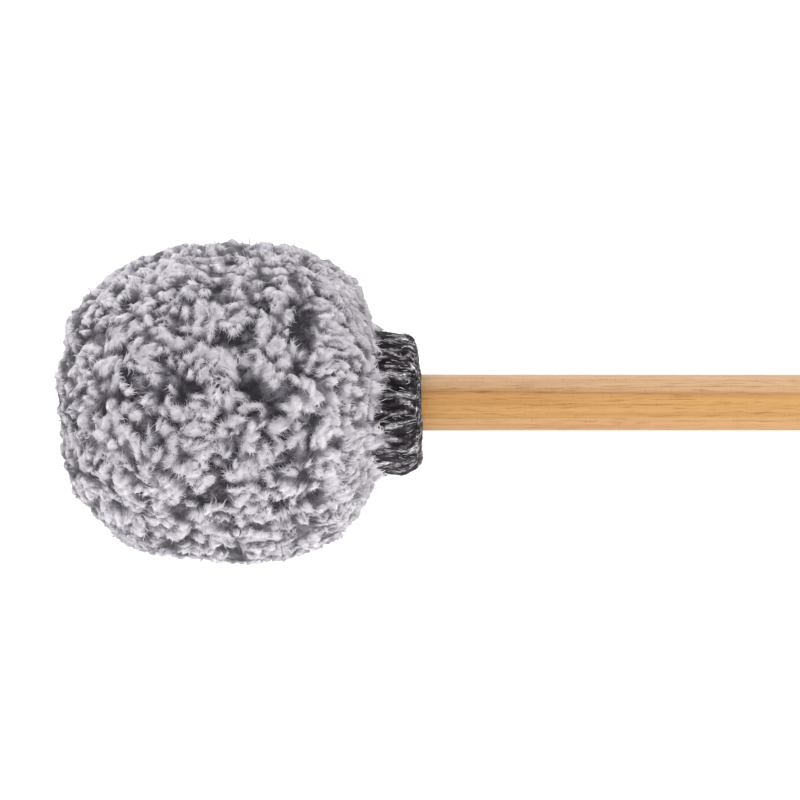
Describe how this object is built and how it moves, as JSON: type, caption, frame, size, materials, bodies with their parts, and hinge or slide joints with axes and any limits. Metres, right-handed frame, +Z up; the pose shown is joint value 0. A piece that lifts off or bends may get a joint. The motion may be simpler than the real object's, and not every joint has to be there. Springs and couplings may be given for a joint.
{
  "type": "gong mallet",
  "caption": "Gong mallet: round wooden shaft with a large padded head in a long-pile fleece cover, drawn in at a knitted cuff.",
  "frame": {"origin": "on the table under the centre of the mallet's bounding box, as it lies on its side", "axes": "+X from the head towards the butt, +Z up from the table; the shaft slopes down to its butt by 6.47 degrees"},
  "size_m": [0.3794, 0.0922, 0.0918],
  "materials": {
    "shaft_wood": "pale hardwood, sanded and oiled",
    "core_wood": "turned hardwood, bare",
    "weight_steel": "turned",
    "washer_steel": "zinc plated",
    "screw_steel": "zinc plated",
    "pad_felt": "pressed felt",
    "firm_felt": "firm pressed felt",
    "soft_felt": "soft felt",
    "waxed_thread": "waxed thread",
    "wadding": "loose wadding",
    "liner_knit": "thin stocking knit",
    "fleece": "long-pile fleece, light tips on dark roots",
    "cuff_knit": "dark knit flecked with pale fibre",
    "drawcord_cotton": "braided cord"
  },
  "bodies": {
    "root": {"shaft": "shaft_wood", "core": "core_wood", "weight_sleeve": "weight_steel", "end_washer": "washer_steel", "end_screw": "screw_steel", "front_pad": "pad_felt", "rear_pad": "pad_felt", "inner_wrap": "firm_felt", "outer_wrap": "soft_felt", "wrap_thread_front": "waxed_thread", "wrap_thread_rear": "waxed_thread", "wadding": "wadding", "liner": "liner_knit", "liner_tie": "waxed_thread", "fleece_cover": "fleece", "cuff": "cuff_knit", "drawcord": "drawcord_cotton", "drawcord_knot": "drawcord_cotton"}
  },
  "joints": []
}
